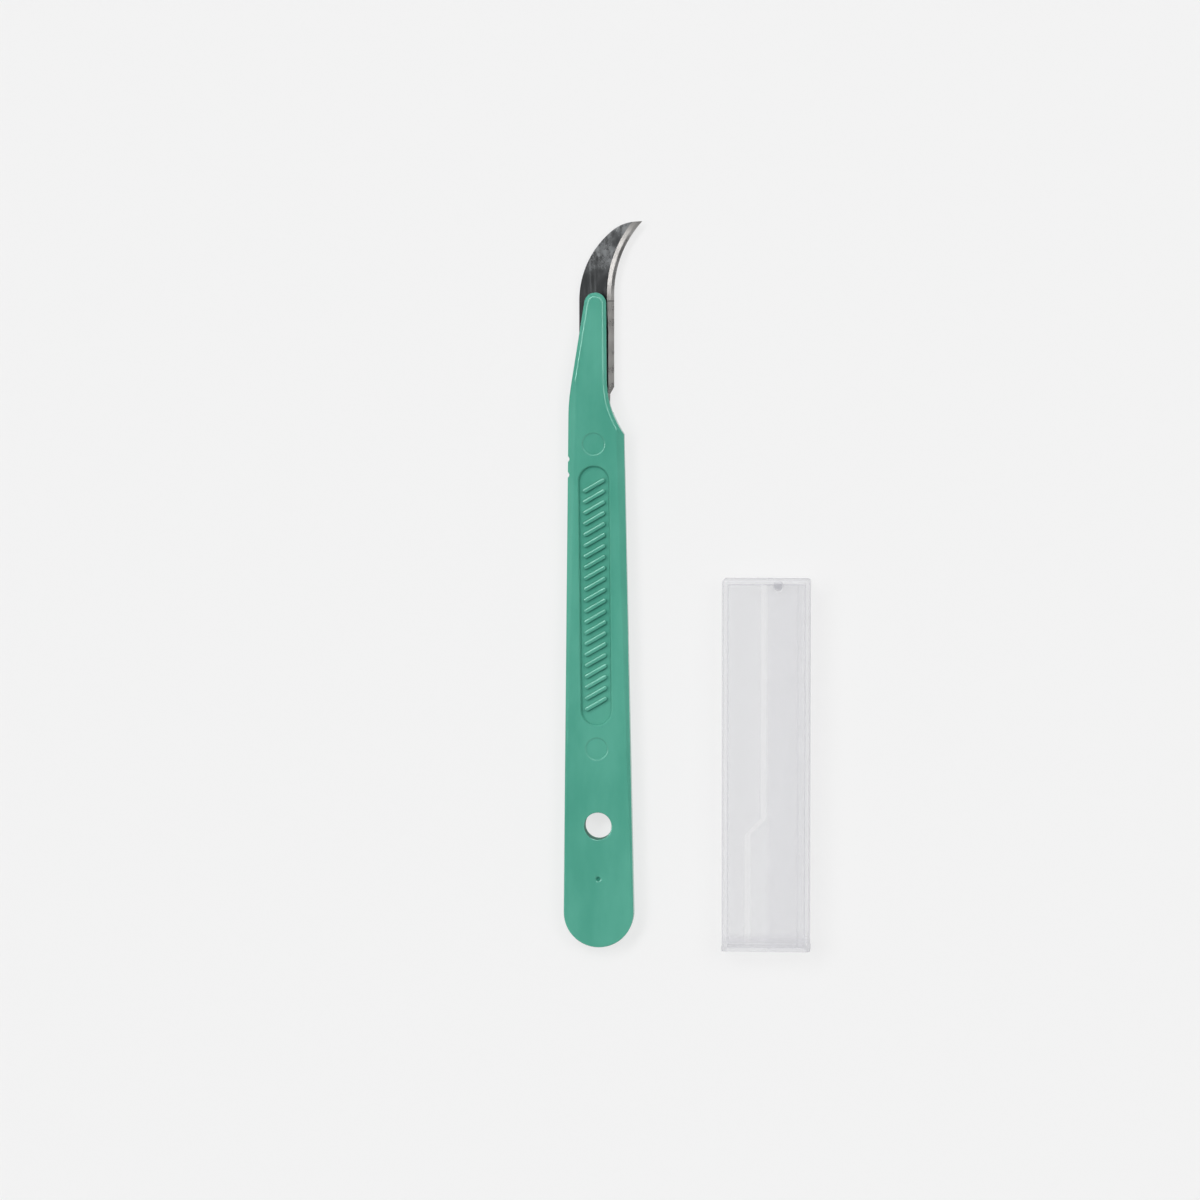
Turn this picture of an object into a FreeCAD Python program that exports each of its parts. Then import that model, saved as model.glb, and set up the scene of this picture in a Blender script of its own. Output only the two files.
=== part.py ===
import FreeCAD, Part
import math
import os

# A disposable scalpel that lies flat, with its blade guard taken off and laid beside it.
# Millimetres. The origin is the axis of the hanging hole, at the underside of the handle.
# +Y runs to the blade's point, +X to the cutting side, and +Z up through the thickness.

# Handle body
handle_thickness = 4.0
tail_radius = 7.0
tail_centre_x = 0.13
hole_to_tail_centre = 17.4
hole_radius = 2.72
knee_x = -5.92
knee_y = 84.75
knee_radius = 37.0
shoulder_y = 78.3
neck_radius = 19.2
neck_top_x = 1.69
neck_top_y = 89.1
body_edge_round = 0.25

# Long bevels of the handle's edges, drawn as the lines where they leave the flat faces
bevel_slope = 30.0
bevel_top_y = 75.5
bevel_low_y = 8.1
spine_bevel_top = 1.39
spine_bevel_low = 0.42
cutting_bevel_top = 1.44
cutting_bevel_low = 0.62

# Tongue under the blade's point, thinner towards its tip
tip_centre_x = -0.63
tip_centre_y = 104.3
tip_radius = 2.16
tongue_taper_y = 85.9
tongue_taper_drop = 0.6
tongue_bevel_width = 0.75
tongue_bevel_round = 0.8

# Grip recess and its ribs, on both faces, on a centre line that leans to the spine side
feature_lean = 0.611
feature_x = -0.08
recess_centre_y = 46.1
recess_length = 52.0
recess_width = 6.3
recess_depth = 0.55
recess_draft = 0.28
recess_mouth_chamfer = 0.12
rib_centre_y = 46.3
rib_count = 21
rib_pitch = 2.18
rib_length = 4.9
rib_width = 0.8
rib_height = 0.5
rib_back_radius = 0.7
rib_rise = 30.0

# Small marks of the mould on the upper face and the two notches in the spine edge
pin_mark_radius = 2.25
pin_mark_depth = 0.12
pin_mark_draft = 0.2
pin_mark_places = (76.4, 15.5)
gate_y = -10.6
gate_radius = 0.5
gate_bottom_radius = 0.2
gate_depth = 0.35
notch_places = (73.35, 70.2)
notch_radius = 0.65
notch_depth = 0.3

# Blade
blade_thickness = 0.4
blade_seat_height = 1.8
blade_spine_x = -3.86
blade_width = 6.96
blade_hook_y = 104.9
spine_arc_radius = 17.9
point_arc_radius = 8.0
point_line_slope = 3.5
edge_arc_y = 106.2
edge_arc_radius = 21.44
grind_change_y = 104.8
blade_point_y = 120.65
tang_width = 6.16
heel_y = 87.7
heel_slant = 1.45
tang_corner_y = 82.6
tang_slant = 27.5
edge_land = 0.02
point_past = 10.0
curve_grind_width = 1.45
curve_hone_width = 0.6
straight_grind_width = 1.25
straight_hone_width = 0.5
hone_share = 0.4

# Slot of the blade, and the boss of the handle that is staked over it
slot_front_y = 102.5
slot_length = 16.0
slot_width = 2.6
slot_rear_length = 6.0
slot_rear_width = 3.8
boss_clearance = 0.05
boss_length = 9.2
head_overlap = 0.5
head_height = 0.5
head_chamfer = 0.2
tang_clearance = 0.15

# Blade guard, which slides over the blade with its cutting side turned the other way round
guard_wall = 1.0
guard_end_wall = 1.2
guard_side_clearance = 0.25
guard_face_clearance = 0.1
guard_end_clearance = 0.9
guard_reach_y = 48.5
guard_place_x = 24.9
guard_mouth_y = -24.6
guard_edge_round = 0.6
pad_height = 0.25
pad_ramp = 1.2
ramp_past_flat = 0.33
ramp_past_tongue = 0.06
spine_pad_overlap = 0.26
spine_pad_ramp = 0.4
step_below_shoulder = 5.15
rim_length = 0.9
rim_proud = 0.1
mouth_chamfer = 0.4
mouth_chamfer_length = 0.7
window_from_end = 1.65
window_from_middle = 2.42
window_radius = 0.88
window_side = 0.7
nub_from_middle = 0.7
nub_radius = 0.5
nub_height = 0.15

# How far a cutting tool passes the surface that it cuts, and an arc's end in degrees
PAST = 1.0
OVERLAP = 0.5
FAR = 200.0
PAST_ARC = 8.0
EVERYWHERE = (-FAR, -FAR, FAR, FAR)

# How near two heights are that count as one
NEAR = 0.001

os.makedirs("parts", exist_ok=True)


def vec(x, y, z=0.0):
    return FreeCAD.Vector(x, y, z)


def on_circle(centre, radius, angle):
    """The point of a circle at an angle in degrees."""
    turn = math.radians(angle)
    return centre + vec(radius * math.cos(turn), radius * math.sin(turn))


def angle_of(centre, point):
    """The direction of a point seen from a centre, in degrees."""
    return math.degrees(math.atan2(point.y - centre.y, point.x - centre.x))


def arc(centre, radius, start, end):
    """An arc between two directions in degrees, the way that the second lies from the first."""
    middle = on_circle(centre, radius, (start + end) / 2)
    return Part.Arc(on_circle(centre, radius, start), middle, on_circle(centre, radius, end)).toShape()


def line(start, end):
    return Part.LineSegment(start, end).toShape()


def touch_angle(centre, radius, corner, side):
    """The direction of the point where a line from a corner touches a circle, on one side."""
    reach = (corner - centre).Length
    return angle_of(centre, corner) + side * math.degrees(math.acos(radius / reach))


def rounded_corner(before, corner, after, radius):
    """The start, middle and end of the arc that rounds a corner between two points."""
    back = (before - corner).normalize()
    ahead = (after - corner).normalize()
    half = back.getAngle(ahead) / 2
    inward = (back + ahead).normalize()
    centre = corner + inward * (radius / math.sin(half))
    run = radius / math.tan(half)
    return corner + back * run, centre - inward * radius, corner + ahead * run


def prism(edges, low, high):
    """The solid over a flat outline between two heights."""
    face = Part.Face(Part.Wire(Part.__sortEdges__(edges)))
    solid = face.extrude(vec(0, 0, high - low))
    solid.translate(vec(0, 0, low))
    return solid


def polygon(points):
    return [line(a, b) for a, b in zip(points, points[1:] + points[:1])]


def stadium(length, width):
    """The outline of a slot with round ends along Y, about the origin."""
    radius = width / 2
    end = vec(0, length / 2 - radius)
    start = vec(0, radius - length / 2)
    return [
        arc(end, radius, 0, 180),
        line(end - vec(radius, 0), start - vec(radius, 0)),
        arc(start, radius, 180, 360),
        line(start + vec(radius, 0), end + vec(radius, 0)),
    ]


def at_height(edge_line, y):
    """The point of a long edge of the handle at one place along it."""
    top, low = edge_line
    return low + (top - low) * ((y - low.y) / (top.y - low.y))


def handle_outline():
    """The handle seen from above, the path along its knee, tongue and neck, and its two long edges."""
    tail = vec(tail_centre_x, -hole_to_tail_centre)
    tip = vec(tip_centre_x, tip_centre_y)
    neck_top = vec(neck_top_x, neck_top_y)
    knee = vec(knee_x, knee_y)
    tip_right = touch_angle(tip, tip_radius, neck_top, 1)
    tip_left = touch_angle(tip, tip_radius, knee, -1) % 360
    along = (on_circle(tip, tip_radius, tip_right) - neck_top).normalize()
    neck_centre = neck_top + vec(along.y, -along.x) * neck_radius
    drop = neck_centre.y - shoulder_y
    shoulder = vec(neck_centre.x - math.sqrt(neck_radius**2 - drop**2), shoulder_y)
    tail_left = touch_angle(tail, tail_radius, knee, 1) % 360
    tail_right = touch_angle(tail, tail_radius, shoulder, -1) % 360
    tongue_left = on_circle(tip, tip_radius, tip_left)
    spine_low = on_circle(tail, tail_radius, tail_left)
    cutting_low = on_circle(tail, tail_radius, tail_right)
    knee_start, knee_middle, knee_end = rounded_corner(tongue_left, knee, spine_low, knee_radius)
    neck_start = angle_of(neck_centre, shoulder) % 360
    neck_end = angle_of(neck_centre, neck_top) % 360
    upper = [
        Part.Arc(knee_end, knee_middle, knee_start).toShape(),
        line(knee_start, tongue_left),
        arc(tip, tip_radius, tip_left, tip_right),
        line(on_circle(tip, tip_radius, tip_right), neck_top),
    ]
    edges = [
        arc(tail, tail_radius, tail_left, tail_right + 360),
        line(cutting_low, shoulder),
        arc(neck_centre, neck_radius, neck_start, neck_end),
        *upper,
        line(knee_end, spine_low),
    ]
    spine_line = (knee_end, spine_low)
    path = [
        line(at_height(spine_line, recess_centre_y), knee_end),
        *upper,
        arc(neck_centre, neck_radius, neck_end, neck_start + PAST_ARC),
    ]
    return edges, path, spine_line, (shoulder, cutting_low)


def bevel_section(at):
    """What the tongue's bevel takes off, with its inner line rounded, as insets and heights."""
    slope = math.radians(bevel_slope)
    width = tongue_bevel_width
    run = tongue_bevel_round * math.tan(slope / 2)
    inner = at(width + run, 0)
    half_way = tongue_bevel_round * math.sin(slope / 2)
    middle = at(width + run - half_way, tongue_bevel_round * (math.cos(slope / 2) - 1))
    outer = at(width - run * math.cos(slope), -run * math.sin(slope))
    low = at(-PAST, -(width + PAST) * math.tan(slope))
    corners = [outer, low, at(-PAST, PAST), at(width + run, PAST), inner]
    return [Part.Arc(inner, middle, outer).toShape()] + [line(a, b) for a, b in zip(corners, corners[1:])]


def crown(path, tilt=0.0):
    """What the bevel round the knee, tongue and neck takes off, tilted with the tongue's upper face."""
    start = path[0].valueAt(path[0].FirstParameter)
    along = path[0].tangentAt(path[0].FirstParameter)
    inward = vec(along.y, -along.x)

    def at(inset, height):
        return start + inward * inset + vec(0, 0, height)

    section = Part.Wire(bevel_section(at))
    cutter = Part.Wire(path).makePipeShell([section], True, False)
    cutter.translate(vec(0, 0, handle_thickness))
    cutter.rotate(vec(0, tongue_taper_y, handle_thickness), vec(1, 0, 0), -tilt)
    return cutter


def above_tongue(tilt):
    """What the tongue's tilted upper face takes off."""
    block = Part.makeBox(FAR, FAR, handle_thickness, vec(-FAR / 2, tongue_taper_y, handle_thickness))
    block.rotate(vec(0, tongue_taper_y, handle_thickness), vec(1, 0, 0), -tilt)
    return block


def long_bevel(edge_line, top_width, low_width, outward):
    """The wedge that bevels one long edge, wider towards the neck."""
    top = at_height(edge_line, bevel_top_y) - vec(outward * top_width, 0)
    low = at_height(edge_line, bevel_low_y) - vec(outward * low_width, 0)
    along = (top - low).normalize()
    side = vec(along.y, -along.x) * outward
    reach = side * tail_radius
    fall = vec(0, 0, -tail_radius * math.tan(math.radians(bevel_slope)))
    start = low - along * FAR + vec(0, 0, handle_thickness)
    corners = [start, start + reach + fall, start + reach + vec(0, 0, PAST), start + vec(0, 0, PAST)]
    return Part.Face(Part.Wire(polygon(corners))).extrude(along * (2 * FAR))


def both_faces(tool):
    """A tool and its mirror image on the handle's other face."""
    return [tool, tool.mirror(vec(0, 0, handle_thickness / 2), vec(0, 0, 1))]


def blade_seat():
    """The room under the tongue, closed at the back by an oblique shoulder along the tang's end."""
    slope = math.tan(math.radians(tang_slant))
    behind = tang_clearance / math.cos(math.radians(tang_slant))
    corner = vec(blade_spine_x + tang_width, tang_corner_y - behind)
    left = corner - vec(FAR, FAR * slope)
    right = corner + vec(FAR, FAR * slope)
    corners = [left, right, right + vec(0, FAR), left + vec(0, 2 * FAR)]
    return prism(polygon(corners), -PAST, blade_seat_height)


def feature_place(y):
    """The point of the leaning centre line at one place along the handle."""
    return vec(feature_x - y * math.tan(math.radians(feature_lean)), y)


def laid_on_line(tool, y):
    """A tool drawn along Y about the origin, turned and moved onto the leaning centre line."""
    tool.rotate(vec(0, 0), vec(0, 0, 1), feature_lean)
    tool.translate(feature_place(y) + vec(0, 0, handle_thickness))
    return tool


def grip_recess():
    """The shallow recess with drafted walls, about the origin at the height of the upper face."""
    spread = recess_draft / recess_depth * PAST
    rings = []
    for z, grow in ((-recess_depth, -recess_draft), (PAST, spread)):
        ring = Part.Wire(Part.__sortEdges__(stadium(recess_length + 2 * grow, recess_width + 2 * grow)))
        ring.translate(vec(0, 0, z))
        rings.append(ring)
    return laid_on_line(Part.makeLoft(rings, True, True), recess_centre_y)


def grip_ribs():
    """The slanted ribs, each a bar with a round back and upright round ends on the recess floor."""
    back_start = vec(0, -rib_length / 2 - PAST, rib_height - rib_back_radius)
    back = Part.makeCylinder(rib_back_radius, rib_length + 2 * PAST, back_start, vec(0, 1))
    bar = prism(stadium(rib_length, rib_width), -rib_back_radius, rib_height).common(back)
    bar.rotate(vec(0, 0), vec(0, 0, 1), rib_rise - 90)
    bar.translate(vec(0, 0, handle_thickness - recess_depth))
    ribs = []
    for i in range(rib_count):
        rib = bar.copy()
        rib.translate(feature_place(rib_centre_y + (i - (rib_count - 1) / 2) * rib_pitch))
        ribs.append(rib)
    return ribs


def mould_marks(spine_line):
    """What the mould leaves: ejector pin marks, the gate's dimple and two notches in the spine edge."""
    top = vec(0, 0, handle_thickness)
    marks = []
    for y in pin_mark_places:
        spread = pin_mark_draft / pin_mark_depth * PAST
        floor_radius = pin_mark_radius - pin_mark_draft
        disc = Part.makeCone(floor_radius, pin_mark_radius + spread, pin_mark_depth + PAST)
        disc.translate(feature_place(y) + top - vec(0, 0, pin_mark_depth))
        marks.append(disc)
    gate = Part.makeCone(gate_bottom_radius, gate_radius, gate_depth)
    gate.translate(feature_place(gate_y) + top - vec(0, 0, gate_depth))
    marks.append(gate)
    for y in notch_places:
        low = at_height(spine_line, y) - vec(notch_radius - notch_depth, 0, PAST)
        marks.append(Part.makeCylinder(notch_radius, handle_thickness + 2 * PAST, low))
    return marks


def slot_middle_x():
    return blade_spine_x + tang_width / 2


def staked_boss():
    """The boss that fills the narrow end of the blade's slot, with its flattened head below the blade."""
    below = blade_seat_height - blade_thickness
    width = slot_width - 2 * boss_clearance
    middle = vec(slot_middle_x(), slot_front_y - boss_clearance - boss_length / 2)
    boss = prism(stadium(boss_length, width), below - head_height, blade_seat_height + OVERLAP)
    head_outline = stadium(boss_length + 2 * head_overlap, width + 2 * head_overlap)
    head = prism(head_outline, below - head_height, below)
    low_edges = [e for e in head.Edges if e.BoundBox.ZMax < below - head_height / 2]
    head = head.makeChamfer(head_chamfer, low_edges)
    tool = boss.fuse(head)
    tool.translate(middle)
    return tool


def level_edges(solid, heights, box):
    """The edges that lie level at one of some heights, inside a box of X and Y."""
    found = []
    for edge in solid.Edges:
        b = edge.BoundBox
        level = any(abs(b.ZMin - z) < NEAR and abs(b.ZMax - z) < NEAR for z in heights)
        if level and b.XMin > box[0] and b.YMin > box[1] and b.XMax < box[2] and b.YMax < box[3]:
            found.append(edge)
    return found


def make_handle():
    edges, path, spine_line, cutting_line = handle_outline()
    faces = (0, handle_thickness)
    solid = prism(edges, 0, handle_thickness)
    solid = solid.makeFillet(body_edge_round, level_edges(solid, faces, EVERYWHERE))
    taper = math.degrees(math.atan2(tongue_taper_drop, tip_centre_y + tip_radius - tongue_taper_y))
    cuts = both_faces(crown(path))
    cuts += [crown(path, taper), above_tongue(taper)]
    cuts += both_faces(long_bevel(spine_line, spine_bevel_top, spine_bevel_low, -1))
    cuts += both_faces(long_bevel(cutting_line, cutting_bevel_top, cutting_bevel_low, 1))
    cuts.append(blade_seat())
    for tool in cuts:
        solid = solid.cut(tool)
    solid = solid.removeSplitter()
    recess = grip_recess()
    for tool in both_faces(recess):
        solid = solid.cut(tool)
    b = recess.BoundBox
    mouths = level_edges(solid, faces, (b.XMin, b.YMin, b.XMax, b.YMax))
    solid = solid.makeChamfer(recess_mouth_chamfer, mouths)
    ribs = grip_ribs()
    ribs += [rib.mirror(vec(0, 0, handle_thickness / 2), vec(0, 0, 1)) for rib in ribs]
    solid = solid.fuse(ribs)
    hole = Part.makeCylinder(hole_radius, handle_thickness + 2 * PAST, vec(0, 0, -PAST))
    for tool in mould_marks(spine_line) + [hole]:
        solid = solid.cut(tool)
    solid = solid.fuse(staked_boss()).removeSplitter()
    return solid.Solids[0]


def blade_outline():
    """The blade from above: spine, hooked back, point, hollow edge, straight edge, heel and tang."""
    edge_x = blade_spine_x + blade_width
    tang_x = blade_spine_x + tang_width
    back = vec(blade_spine_x + spine_arc_radius, blade_hook_y)
    hollow = vec(edge_x + edge_arc_radius, edge_arc_y)
    rise = blade_point_y - edge_arc_y
    point = vec(hollow.x - math.sqrt(edge_arc_radius**2 - rise**2), blade_point_y)
    square = on_circle(vec(0, 0), 1, 90 + point_line_slope)
    lean = ((point - back).dot(square) - point_arc_radius) / (spine_arc_radius - point_arc_radius)
    turn = 90 + point_line_slope + math.degrees(math.acos(lean))
    nose = on_circle(back, spine_arc_radius - point_arc_radius, turn)
    rear = vec(blade_spine_x, tang_corner_y - tang_width * math.tan(math.radians(tang_slant)))
    heel = vec(edge_x, heel_y)
    heel_end = vec(tang_x, heel_y - heel_slant)
    edges = [
        line(rear, vec(tang_x, tang_corner_y)),
        line(vec(tang_x, tang_corner_y), heel_end),
        line(heel_end, heel),
        line(heel, vec(edge_x, edge_arc_y)),
        arc(hollow, edge_arc_radius, 180, angle_of(hollow, point)),
        line(point, on_circle(nose, point_arc_radius, 90 + point_line_slope)),
        arc(nose, point_arc_radius, 90 + point_line_slope, turn),
        arc(back, spine_arc_radius, turn, 180),
        line(vec(blade_spine_x, blade_hook_y), rear),
    ]
    return edges, hollow, point, heel, heel_end


def grind_profile(grind_width, hone_width):
    """The section that grinding takes off above the blade's middle, with the edge at the origin."""
    half = blade_thickness / 2
    return polygon([
        vec(grind_width, 0, half),
        vec(hone_width, 0, half * hone_share),
        vec(0, 0, edge_land / 2),
        vec(-PAST, 0, edge_land / 2),
        vec(-PAST, 0, half + PAST),
        vec(grind_width, 0, half + PAST),
    ])


def straight_grind(grind_width, hone_width, edge_x, low_y, high_y):
    """What grinding takes off along a straight stretch of the edge, above the blade's middle."""
    profile = Part.Face(Part.Wire(grind_profile(grind_width, hone_width)))
    profile.rotate(vec(0, 0), vec(0, 0, 1), 180)
    tool = profile.extrude(vec(0, high_y - low_y))
    tool.translate(vec(edge_x, low_y))
    return tool


def make_blade():
    edges, hollow, point, heel, heel_end = blade_outline()
    middle = vec(0, 0, blade_seat_height - blade_thickness / 2)
    solid = prism(edges, blade_seat_height - blade_thickness, blade_seat_height)
    curved = Part.Face(Part.Wire(grind_profile(curve_grind_width, curve_hone_width)))
    curved.translate(vec(edge_arc_radius, 0))
    curved = curved.revolve(vec(0, 0), vec(0, 0, 1), 180 - angle_of(hollow, point) + point_past)
    curved.rotate(vec(0, 0), vec(0, 0, 1), angle_of(hollow, point) - point_past)
    curved.translate(hollow + middle)
    joining = straight_grind(curve_grind_width, curve_hone_width, heel.x, grind_change_y, edge_arc_y)
    low_y = heel_y - blade_width
    straight = straight_grind(straight_grind_width, straight_hone_width, heel.x, low_y, grind_change_y)
    slant = (heel_end - heel).normalize() * FAR
    behind = [heel - slant, heel + slant, heel + slant + vec(FAR, 0), heel - slant + vec(FAR, 0)]
    straight = straight.cut(prism(polygon(behind), -FAR, FAR))
    for tool in (joining, straight):
        tool.translate(middle)
    for tool in (curved, joining, straight):
        solid = solid.cut(tool).cut(tool.mirror(middle, vec(0, 0, 1)))
    solid = solid.removeSplitter()
    slot = prism(stadium(slot_length, slot_width), 0, handle_thickness)
    slot.translate(vec(slot_middle_x(), slot_front_y - slot_length / 2))
    wide = prism(stadium(slot_rear_length, slot_rear_width), 0, handle_thickness)
    wide.translate(vec(slot_middle_x(), slot_front_y - slot_length + slot_rear_length / 2))
    solid = solid.cut(slot).cut(wide)
    return solid.Solids[0], point


def sleeve(width, thickness, length, long_round, end_round):
    """A block with rounded long edges from its mouth at the origin to its closed end at +Y."""
    block = Part.makeBox(width, length, thickness, vec(-width / 2, 0, -thickness / 2))
    long_edges = [e for e in block.Edges if e.BoundBox.YLength > length / 2]
    block = block.makeFillet(long_round, long_edges)
    if end_round:
        end_edges = [e for e in block.Edges if e.BoundBox.YMin > length - PAST]
        block = block.makeFillet(end_round, end_edges)
    return block


def pad(xs, ys, ramp, far_x, height):
    """A pad that thickens one wall of the guard from a stepped line, with a ramp, to its side wall."""
    def outline(shift, z):
        points = [vec(x + shift, y, z) for x, y in zip(xs, ys)]
        points += [vec(far_x, ys[-1], z), vec(far_x, ys[0], z)]
        return Part.Wire(polygon(points))

    inner = outline(-ramp / 2, height - pad_height)
    outer = outline(ramp + ramp / 2, height + pad_height)
    return Part.makeLoft([inner, outer], True, True)


def flat_x(edge_line, top_width, low_width):
    """Where the handle's flat face ends at a long bevel, at the end that the guard reaches."""
    share = (guard_reach_y - bevel_low_y) / (bevel_top_y - bevel_low_y)
    return at_height(edge_line, guard_reach_y).x + low_width + (top_width - low_width) * share


def guard_pads(spine_line, cutting_line, middle_x, width, length):
    """The pads that grip the handle's bevels, stepped at the cutting side and straight at the spine."""
    low_x = middle_x - flat_x(cutting_line, -cutting_bevel_top, -cutting_bevel_low) - ramp_past_flat
    high_x = middle_x - neck_top_x - ramp_past_tongue
    spine_pad_x = middle_x - flat_x(spine_line, spine_bevel_top, spine_bevel_low) - spine_pad_overlap
    step_y = shoulder_y - step_below_shoulder - guard_reach_y
    half_step = abs(high_x - low_x) / 2
    ys = [-PAST, step_y - half_step, step_y + half_step, length]
    wall_z = handle_thickness / 2 + guard_face_clearance + pad_height
    stepped = pad([low_x, low_x, high_x, high_x], ys, pad_ramp, -width, wall_z)
    straight = pad([spine_pad_x, spine_pad_x], [-PAST, length], -spine_pad_ramp, width, wall_z)
    return stepped, straight


def make_guard(point):
    """The guard as it lies beside the scalpel, drawn about the middle of its mouth and then moved."""
    spine_line, cutting_line = handle_outline()[2:]
    spine_x = at_height(spine_line, guard_reach_y).x
    inner_width = point.x - spine_x + 2 * guard_side_clearance
    inner_thickness = handle_thickness + 2 * (guard_face_clearance + pad_height)
    inner_length = point.y - guard_reach_y + guard_end_clearance
    width = inner_width + 2 * guard_wall
    thickness = inner_thickness + 2 * guard_wall
    length = inner_length + guard_end_wall
    core_corner = vec(-inner_width / 2, -PAST, -inner_thickness / 2)
    core = Part.makeBox(inner_width, inner_length + PAST, inner_thickness, core_corner)
    for tool in guard_pads(spine_line, cutting_line, (point.x + spine_x) / 2, width, length):
        core = core.cut(tool).cut(tool.mirror(vec(0, 0), vec(0, 0, 1)))
    block = sleeve(width, thickness, length, guard_edge_round, guard_edge_round)
    rim_edge = guard_edge_round + rim_proud
    rim = sleeve(width + 2 * rim_proud, thickness + 2 * rim_proud, rim_length, rim_edge, 0)
    nub_start = vec(nub_from_middle, length - OVERLAP)
    nub = Part.makeCylinder(nub_radius, nub_height + OVERLAP, nub_start, vec(0, 1))
    lead = mouth_lead(inner_width, inner_thickness)
    window = prism(window_outline(), 0, thickness)
    window.translate(vec(window_from_middle, length - window_from_end))
    solid = block.fuse([rim, nub]).cut(core).cut(lead).cut(window).removeSplitter()
    solid.translate(vec(guard_place_x + width / 2, guard_mouth_y, thickness / 2 + rim_proud))
    return solid.Solids[0]


def mouth_lead(inner_width, inner_thickness):
    """The chamfer that opens the guard's mouth."""
    slope = mouth_chamfer / mouth_chamfer_length
    frames = []
    for y, spread in ((-PAST, mouth_chamfer + slope * PAST), (mouth_chamfer_length, 0)):
        x = inner_width / 2 + spread
        z = inner_thickness / 2 + spread
        frames.append(Part.Wire(polygon([vec(-x, y, -z), vec(x, y, -z), vec(x, y, z), vec(-x, y, z)])))
    return Part.makeLoft(frames, True, True)


def window_outline():
    """A window with a round end towards the mouth and a flat end towards the closed end."""
    right = vec(window_radius, 0)
    left = vec(-window_radius, 0)
    top_right = vec(window_radius, window_side)
    top_left = vec(-window_radius, window_side)
    return [
        arc(vec(0, 0), window_radius, 180, 360),
        line(right, top_right),
        line(top_right, top_left),
        line(top_left, left),
    ]


handle = make_handle()
blade, point = make_blade()
guard = make_guard(point)
for name, solid in (("handle", handle), ("blade", blade), ("blade_guard", guard)):
    solid.exportStep("parts/" + name + ".step")
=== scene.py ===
import math

import bpy
from mathutils import Matrix, Vector


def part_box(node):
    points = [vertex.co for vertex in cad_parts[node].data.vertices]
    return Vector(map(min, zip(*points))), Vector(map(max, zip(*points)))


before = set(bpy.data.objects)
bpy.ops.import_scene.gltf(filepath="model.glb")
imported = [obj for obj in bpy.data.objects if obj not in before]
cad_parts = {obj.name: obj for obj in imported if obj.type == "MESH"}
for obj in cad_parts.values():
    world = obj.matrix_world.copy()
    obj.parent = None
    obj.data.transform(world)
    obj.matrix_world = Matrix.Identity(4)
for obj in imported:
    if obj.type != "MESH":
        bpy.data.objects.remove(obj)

bl_info = {
    "name": "Disposable scalpel finishes",
    "version": (1, 0, 0),
    "blender": (4, 5, 0),
    "location": "View3D > Sidebar > Scalpel",
    "description": "Finishes a moulded disposable scalpel and its blade guard, and sets up a plain studio",
    "category": "Object",
}

MM = 0.001
HANDLE_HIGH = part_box("handle")[1]
BLADE_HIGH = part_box("blade")[1]
GUARD_LOW, GUARD_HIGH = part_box("blade_guard")

# The mix node's inputs share their names, so these are their places: two colours, or two numbers
FIRST_COLOUR, SECOND_COLOUR = 6, 7
FIRST_NUMBER, SECOND_NUMBER = 2, 3

# A noise texture's values that count as none and as full: most of them lie between the first pair, and the
# others make patches of oil more common, and signs of wiping rarer
NOISE_LOW, NOISE_HIGH = 0.3, 0.7
PATCH_LOW, PATCH_HIGH = 0.3, 0.62
FILM_LOW, FILM_HIGH = 0.28, 0.72
WIPED_LOW, WIPED_HIGH = 0.45, 0.75
LINES_LOW, LINES_HIGH = 0.35, 0.65

# Handle. The melt flows along the handle, so its clouds are about three times as long as wide
FLOW_STRETCH = (1.0, 0.35, 1.0)
# Painted shade: a corner is painted darker where something stands at its upper left, because the light
# comes from there
CORNER_LEAN = (-0.5, 0.55, 0.0)
# Share of open air around a point where a corner's painted shade is at its darkest, and where it ends
CORNER_CLOSED, CORNER_OPEN = 0.25, 0.95
# The gate's mark, with painted shade in its dimple's middle, and the hanging hole, whose wall is painted in
# shade
GATE_MARK = (0.033 * MM, -10.6 * MM)
GATE_RADIUS = 0.35 * MM
HOLE_RADIUS = 2.72 * MM
HOLE_WALL_FROM, HOLE_WALL_TO = HOLE_RADIUS + 0.02 * MM, HOLE_RADIUS + 0.08 * MM
HOLE_WALL_ROUGHNESS = 0.7
# Soft raised rims around pin marks, gate and hole: X and Y of the middle, and the radii where a rim
# begins and ends
RIMS = (
    (-0.895 * MM, 76.4 * MM, 2.15 * MM, 2.38 * MM),
    (-0.245 * MM, 15.5 * MM, 2.15 * MM, 2.38 * MM),
    (*GATE_MARK, 0.5 * MM, 0.74 * MM),
    (0.0, 0.0, HOLE_RADIUS, HOLE_RADIUS + 0.23 * MM),
)
# A plastic skin's roughness varies by this much either way
ROUGHNESS_SPREAD = 0.03

# Blade. Its hollow cutting edge is an arc with this centre and radius, and turns straight at the
# change of grind
EDGE_RADIUS = 21.44 * MM
EDGE_CENTRE = Vector((24.54 * MM, 106.2 * MM, 0))
GRIND_CHANGE = 104.8 * MM - EDGE_CENTRE.y
CHANGE_BLUR = 0.03 * MM
# The straight bevel narrows over this length
BEVEL_TAPER = 7 * MM
# Along the arc: where the belly of the hollow bevel, painted as a highlight, is at its full, and where it
# begins and ceases to fade
BELLY_FULL, BELLY_FADES, BELLY_ENDS = 3 * MM, 9.5 * MM, 15.5 * MM
HONE_BLUR = 0.1 * MM
# Share of the honed rim's look where the bevel has no belly
HONE_AT_ENDS = 0.25
# Roughness of the steel: rolled, wiped, under oil, ground straight, ground hollow at the ends and at
# the belly, and honed
ROLLED_ROUGHNESS, WIPED_ROUGHNESS, OILY_ROUGHNESS = 0.145, 0.225, 0.45
STRAIGHT_ROUGHNESS, HOLLOW_ROUGHNESS, BELLY_ROUGHNESS, HONED_ROUGHNESS = 0.3, 0.34, 0.53, 0.25
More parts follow.
